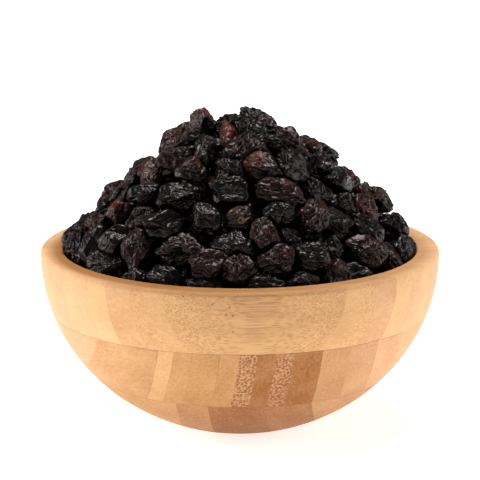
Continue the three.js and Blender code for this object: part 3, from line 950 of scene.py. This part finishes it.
def raisin_piece(name, members, others, divisions, material):
    """One object of several raisins, each made from a ball"""
    obj = balls(name, len(members), divisions)
    mesh = obj.data
    uv = ball_map(mesh, len(members))
    raw = vertex_places(mesh).reshape(len(members), -1, 3)
    skins = [raisin_skin(raw[i], raisin, i, others) for i, raisin in enumerate(members)]
    points, places, colours, relief = (np.concatenate(each) for each in zip(*skins))
    mesh.vertices.foreach_set("co", points.ravel() * MM)
    mesh.update()
    for attribute, kind, field, values in (
        ("own_place", "FLOAT_VECTOR", "vector", places),
        ("skin_colours", "FLOAT_COLOR", "color", colours),
        ("skin_relief", "FLOAT_VECTOR", "vector", relief),
    ):
        mesh.attributes.new(attribute, kind, "POINT").data.foreach_set(field, values.ravel())
    mesh.uv_layers.new(name="OFBake").uv.foreach_set("vector", uv.ravel())
    mesh.materials.append(material)
    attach(obj, "root")
    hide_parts("raisin_heap")


def heap():
    """The raisins that show are a few pieces, each layer under them is one."""
    top, lower, deep = top_raisins(), lower_raisins(), deep_raisins()
    everything = top + lower + deep
    for number, raisin in enumerate(everything):
        raisin.number = number
    skin = raisin_material()
    for start in range(0, TOP_RAISINS, RAISINS_PER_PIECE):
        name = f"raisins_{start // RAISINS_PER_PIECE + 1}"
        raisin_piece(name, top[start : start + RAISINS_PER_PIECE], everything, TOP_DIVISIONS, skin)
    raisin_piece("raisins_underneath", lower, everything, LOWER_DIVISIONS, skin)
    raisin_piece("raisins_inside", deep, everything, DEEP_DIVISIONS, skin)


# Building materials from nodes


def feed(node, inputs):
    """Puts values, or what other nodes give, on a node's inputs, by name or in order."""
    for name, value in inputs.items() if isinstance(inputs, dict) else enumerate(inputs):
        if isinstance(value, Value):
            node.id_data.links.new(value.socket, node.inputs[name])
        else:
            node.inputs[name].default_value = value


def new_node(neighbour, kind, inputs, settings):
    """The outputs of a new node beside another"""
    node = neighbour.id_data.nodes.new("ShaderNode" + kind)
    for name, value in settings.items():
        setattr(node, name, value)
    feed(node, inputs)
    return node.outputs


def given(neighbour, kind, output, **settings):
    """What a node without inputs gives"""
    return Value(new_node(neighbour, kind, {}, settings)[output])


class Value:
    """A number, place or colour that a node gives"""

    def __init__(self, socket):
        self.socket = socket

    def node(self, kind, inputs, **settings):
        return [Value(output) for output in new_node(self.socket, kind, inputs, settings)]

    def maths(self, operation, *others):
        return self.node("Math", (self, *others), operation=operation)[0]

    __add__ = __radd__ = partialmethod(maths, "ADD")
    __sub__ = partialmethod(maths, "SUBTRACT")
    __mul__ = partialmethod(maths, "MULTIPLY")
    __truediv__ = partialmethod(maths, "DIVIDE")
    __pow__ = partialmethod(maths, "POWER")
    __lt__ = partialmethod(maths, "LESS_THAN")
    __abs__ = partialmethod(maths, "ABSOLUTE")

    def scaled(self, sizes):
        return self.node("VectorMath", (self, sizes), operation="MULTIPLY")[0]

    def distance(self, point):
        return self.node("VectorMath", (self, point), operation="DISTANCE")[1]

    def parts(self, kind="SeparateXYZ"):
        return self.node(kind, (self,))[:3]

    def ranged(self, low, high, to_low=0, to_high=1):
        """Its share of a range, kept between the ends, turned to another range"""
        return self.node("MapRange", (self, low, high, to_low, to_high))[0]

    def blend(self, one, other):
        """One colour turned into another by this share; a Mix node has them at 6, 7 and 2."""
        return self.node("Mix", {0: self, 6: one, 7: other}, data_type="RGBA")[2]

    def noise(self, scale, detail, roughness):
        looks = {"Vector": self, "Scale": scale, "Detail": detail, "Roughness": roughness}
        return self.node("TexNoise", looks)[0]

    def cells(self, scale, scatter, dimensions="3D"):
        """A pattern of cells: how far the middle of one is, and a colour drawn for it"""
        looks = {"Vector": self, "Scale": scale, "Randomness": scatter}
        return self.node("TexVoronoi", looks, voronoi_dimensions=dimensions)[:2]

    def bump(self, strength, distance):
        return self.node("Bump", {"Strength": strength, "Distance": distance, "Height": self})[0]


def new_material(name):
    material = bpy.data.materials.new(name)
    material.use_nodes = True
    return material, material.node_tree.nodes["Principled BSDF"]


# The raisins' skin


def ridge_colour_and_crease_shade(place, brown, ridge):
    """Near black in the creases, and black or brown on the ridges: partly the skin's own colour, partly
    painted shade in the creases and painted light on the crests
    """
    brown = brown * place.noise(*BROWN_CLOUDS).ranged(*BROWN_SHARE)
    return ridge.blend(brown.blend(PITCH_BLACK, DEEP_BROWN), brown.blend(RIDGE_BLACK, RIDGE_BROWN))


def bloomed(place, blue, ridge, colour):
    """A blue-grey bloom lies in patches on the ridges."""
    bloom = blue * place.noise(*BLOOM_PATCHES).ranged(*BLOOM_SHARE) * ridge
    return bloom.blend(colour, BLOOM_BLUE)


def reddened(place, red, colour):
    return (red * place.noise(*RED_CLOUDS).ranged(*RED_SHARE)).blend(colour, WINE_RED)


# Painted shade: the skin is darkened to near black where it looks down.
def painted_underside_shade(colour):
    upward = given(colour.socket, "NewGeometry", "Normal").parts()[2]
    return upward.ranged(*UNDERSIDE_SHADE).blend(colour, PITCH_BLACK)


def white_flecked(place, colour):
    """White flecks lie in the middles of a few cells."""
    away, drawn = place.cells(*FLECK_PLACES)
    chosen = drawn.parts("SeparateColor")[0] < FLECK_SHARE
    return (chosen * away.ranged(*FLECK_WIDTH)).blend(colour, FLECK_WHITE)


def crests_along(place):
    """Sharp crests that wander along a raisin"""
    lengthwise = place.node("Mapping", {"Vector": place, "Scale": CREST_STRETCH})[0]
    looks = {"Vector": lengthwise, **CRESTS}
    crests = place.node("TexNoise", looks, noise_type="RIDGED_MULTIFRACTAL", normalize=False)[0]
    return crests.ranged(*CREST_HEIGHT)


def raisin_material():
    """The skin of all raisins"""
    material, shader = new_material("raisin_skin")
    place = given(shader, "Attribute", "Vector", attribute_name="own_place")
    hues = given(shader, "Attribute", "Color", attribute_name="skin_colours")
    brown, blue, red = hues.parts("SeparateColor")
    crease, ring, shine = given(shader, "Attribute", "Vector", attribute_name="skin_relief").parts()
    grain = place.noise(*GRAIN)
    crests = crests_along(place)
    ridge = crease.ranged(*RIDGE_HEIGHT) ** RIDGE_SHARPNESS * crests.ranged(*CREST_LIGHT)
    scar = ring * grain.ranged(*SCAR_STAIN)
    colour = bloomed(place, blue, ridge, ridge_colour_and_crease_shade(place, brown, ridge))
    # The undersides get painted shade.
    colour = scar.blend(painted_underside_shade(reddened(place, red, colour)), STALK_TAN)
    dull = grain.ranged(*SKIN_ROUGHNESS) + scar * SCAR_ROUGHNESS
    feed(shader, {
        "Base Color": white_flecked(place, colour),
        "Roughness": dull - shine * SHINE_SMOOTHNESS,
        "Normal": (crests + grain * GRAIN_HEIGHT).bump(*SKIN_BUMP),
        "Specular IOR Level": SKIN_SPECULAR,
        "Specular Tint": SHEEN_TINT,
    })
    return material


# The bowl's boards, turned from profiles in millimetres


def outer_radius(z):
    depth = upright_at / sqrt(1 - (BASE_DIAMETER / BOWL_DIAMETER) ** 2)
    return bowl_radius * sqrt(1 - (max(0, upright_at - z) / depth) ** 2)


def wall(radius_at, start, end):
    """Points of a wall from one height to another"""
    steps = max(2, round(abs(end - start) / WALL_STEP))
    return [(radius_at(z), z) for z in np.linspace(start, end, steps + 1)]


def hollow_bottom(top):
    """The hollow from a height down to the axis, at even angles of its ellipse"""
    angle = acos((BOWL_HEIGHT - top) / hollow_depth)
    steps = round(degrees(angle) / HOLLOW_STEP_DEGREES)
    angles = np.linspace(angle, 0, steps + 1)
    return [(mouth_radius * sin(a), BOWL_HEIGHT - hollow_depth * cos(a)) for a in angles]


def eased(corner, before, after, size):
    """A corner cut back by a size, and a point on each side that keeps the face flat"""
    back = unit(np.subtract(before, corner))
    on = unit(np.subtract(after, corner))
    held = size + HELD_FLAT
    return [tuple(corner + step) for step in (back * held, back * size, on * size, on * held)]


def rim_edge(middle, size, start):
    """A quarter circle up at the rim, about a distance from the axis, from an angle in degrees"""
    angles = np.radians(np.linspace(start, start + 90, ROUNDING_STEPS + 1))
    return [(middle + size * cos(a), BOWL_HEIGHT - size + size * sin(a)) for a in angles]


def turned(name, profile, closed):
    """A solid turned from a profile that runs up the outside and down the inside"""
    bm = bmesh.new()
    points = [bm.verts.new((r * MM, 0, z * MM)) for r, z in profile]
    edges = [bm.edges.new(pair) for pair in zip(points, points[1:])]
    if closed:
        edges.append(bm.edges.new((points[-1], points[0])))
    bmesh.ops.spin(
        bm, geom=points + edges, axis=(0, 0, 1), angle=2 * pi, steps=BOWL_SIDES, use_merge=True,
    )
    bmesh.ops.remove_doubles(bm, verts=bm.verts[:], dist=WELD_DISTANCE * MM)
    bmesh.ops.recalc_face_normals(bm, faces=bm.faces[:])
    return smooth_object(name, bm)


def base_board():
    underside = outer_radius(0)
    foot = eased((underside, 0), (0, 0), (outer_radius(BASE_EASING), BASE_EASING), BASE_EASING)
    outside = wall(outer_radius, 2 * BASE_EASING, LOWER_GLUE)
    hollow = hollow_bottom(LOWER_GLUE)
    seam = eased(outside[-1], outside[-2], hollow[0], SEAM_EASING)
    profile = [(0, 0), *foot, *outside[:-1], *seam, *hollow[:-1], (0, FLOOR_THICKNESS)]
    return turned("base_board", profile, False)


def middle_board():
    outside = wall(outer_radius, LOWER_GLUE, UPPER_GLUE)
    hollow = wall(inner_radius, UPPER_GLUE, LOWER_GLUE)
    lower = eased(outside[0], hollow[-1], outside[1], SEAM_EASING)
    upper = eased(outside[-1], outside[-2], hollow[0], SEAM_EASING)
    return turned("middle_board", [*lower, *outside[1:-1], *upper, *hollow], True)


def top_board():
    outside = wall(outer_radius, UPPER_GLUE, upright_at)
    outer_edge = rim_edge(bowl_radius - RIM_ROUNDING, RIM_ROUNDING, 0)
    inner_edge = rim_edge(mouth_radius + MOUTH_ROUNDING, MOUTH_ROUNDING, 90)
    hollow = wall(inner_radius, BOWL_HEIGHT - MOUTH_ROUNDING, UPPER_GLUE)[1:]
    lower = eased(outside[0], hollow[-1], outside[1], SEAM_EASING)
    return turned("top_board", [*lower, *outside[1:-1], *outer_edge, *inner_edge, *hollow], True)


# Bamboo. The parts of a place are its millimetres along the fibres, across them and up.


def figure(parts, looks, shift=0):
    """A pattern of a length along the fibres and a width across them"""
    length, width, detail, roughness = looks
    along = parts[0] / length + shift
    place = along.node("CombineXYZ", (along, parts[1] / width, parts[2] / width))[0]
    return place.noise(1, detail, roughness)


def glue_line(place, at, darkness):
    """How dark a line of glue is beside its place"""
    return abs(place - at).ranged(GLUE_WIDTH, 0, 0, darkness)


def strip_looks(across, strips):
    """How the strip at a place across the grain looks, its number, and the glue"""
    looks = (*strips[0][1:4], 1)
    number = glue = 0
    for start, light, fibres, red, seam in strips[1:]:
        softness = SEAM_SOFTNESS if seam else FADE_SOFTNESS
        past = across.ranged(start - softness, start + softness)
        looks = past.blend(looks, (light, fibres, red, 1))
        if seam:
            number = number + past
            glue = glue + glue_line(across, start, seam)
    return looks, number, glue


def fibre_dots(parts, steps, fibres):
    """The cut ends of fibres, and dashes where the surface runs along them"""
    sway = (figure(parts, WANDER) - 0.5) * (2 * FIBRE_WANDER)
    section = ((parts[1] + sway) / steps[0], (parts[2] - sway) / steps[1])
    away = sway.node("CombineXYZ", section)[0].cells(1, FIBRE_SCATTER, "2D")[0]
    dots = (away - fibres * FIBRE_GROWTH).ranged(*FIBRE_WIDTH)
    return dots * figure(parts, WORN_FIBRES).ranged(*FIBRE_WEAR) * fibres


def rim_mouth_shaded(place, parts, colour):
    """Painted shade: the rim is darker towards the mouth, beside the raisins."""
    inward = (place.scaled((1, 1, 0)).distance(MOUTH_SHADE_MIDDLE) - mouth_radius).ranged(*MOUTH_SHADE_REACH)
    on_top = (parts[2] - BOWL_HEIGHT).ranged(*MOUTH_SHADE_RISE)
    return (inward * on_top * parts[0].ranged(*MOUTH_SHADE_FADING)).blend(colour, GOLD_DARK)


def specks(place):
    dark = 0
    for across, up, width in SPECKS:
        away = place.distance((across, -sqrt(outer_radius(up) ** 2 - across**2), up))
        dark = dark + away.ranged(width, width / 2, 0, SPECK_DARKNESS)
    return dark


def bamboo_material(name, grain, strips, fibre_steps):
    """A solid pattern of strips, fibres and glue"""
    material, shader = new_material(name)
    place = given(shader, "TexCoord", "Object").scaled((1 / MM, 1 / MM, 1 / MM))
    turned_place = {"Vector": place, "Rotation": (0, 0, -radians(grain))}
    parts = place.node("Mapping", turned_place)[0].parts()
    looks, number, glue = strip_looks(parts[1], strips)
    light, fibres, red = looks.parts("SeparateColor")
    shift = number * STRIP_SHIFT
    streaks = figure(parts, STREAKS, shift)
    dots = fibre_dots(parts, fibre_steps, fibres)
    clouds = figure(parts, CLOUDS, shift)
    tone = light + streaks.ranged(*STREAK_TONE) + clouds.ranged(*CLOUD_TONE) + fibres * FIBRE_TONE
    colour = red.blend(tone.blend(GOLD_DARK, GOLD_LIGHT), tone.blend(RED_DARK, RED_LIGHT))
    # Painted shade on the rim beside the raisins.
    colour = rim_mouth_shaded(place, parts, colour)
    colour = (dots * FIBRE_DARKNESS).blend(colour, FIBRE_BROWN)
    for height in (LOWER_GLUE, UPPER_GLUE):
        glue = glue + glue_line(parts[2], height, BOARD_GLUE)
    glue = glue * figure(parts, WORN_GLUE).ranged(*GLUE_WEAR)
    feed(shader, {
        "Base Color": (glue + specks(place)).blend(colour, GLUE_BROWN),
        "Roughness": streaks.ranged(*WOOD_ROUGHNESS),
        "Normal": (streaks - dots).bump(*WOOD_BUMP),
        "Specular IOR Level": WOOD_SPECULAR,
    })
    return material


def bowl():
    for board, cad_name, *wood in (
        (base_board(), "bowl_base_board", BASE_GRAIN, BASE_STRIPS, BASE_FIBRES),
        (middle_board(), "bowl_middle_board", MIDDLE_GRAIN, MIDDLE_STRIPS, MIDDLE_FIBRES),
        (top_board(), "bowl_top_board", TOP_GRAIN, TOP_STRIPS, TOP_FIBRES),
    ):
        board.data.materials.append(bamboo_material(f"bamboo_{board.name}", *wood))
        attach(board, "root")
        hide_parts(cad_name)


# Floor and light


def floor():
    """A pale table, so lit that hardly a shadow lies on it"""
    bm = bmesh.new()
    bmesh.ops.create_grid(bm, x_segments=1, y_segments=1, size=FLOOR_REACH)
    obj = smooth_object("floor", bm)
    material, shader = new_material("floor_paper")
    feed(shader, FLOOR_LOOKS)
    obj.data.materials.append(material)


def soft_sun(name, azimuth, elevation, energy, width):
    """A far, wide light"""
    data = bpy.data.lights.new(name, "SUN")
    data.energy = energy
    data.angle = radians(width)
    add_object(name, data).rotation_euler = (radians(90 - elevation), 0, radians(azimuth))


def light():
    world = bpy.data.worlds.new("studio")
    world.use_nodes = True
    feed(world.node_tree.nodes["Background"], {"Color": WHITE, "Strength": WORLD_STRENGTH})
    for row in SOFT_SUNS:
        soft_sun(*row)
    bpy.context.scene.world = world
    bpy.context.scene.view_settings.view_transform = "Standard"


camera()
heap()
bowl()
floor()
light()
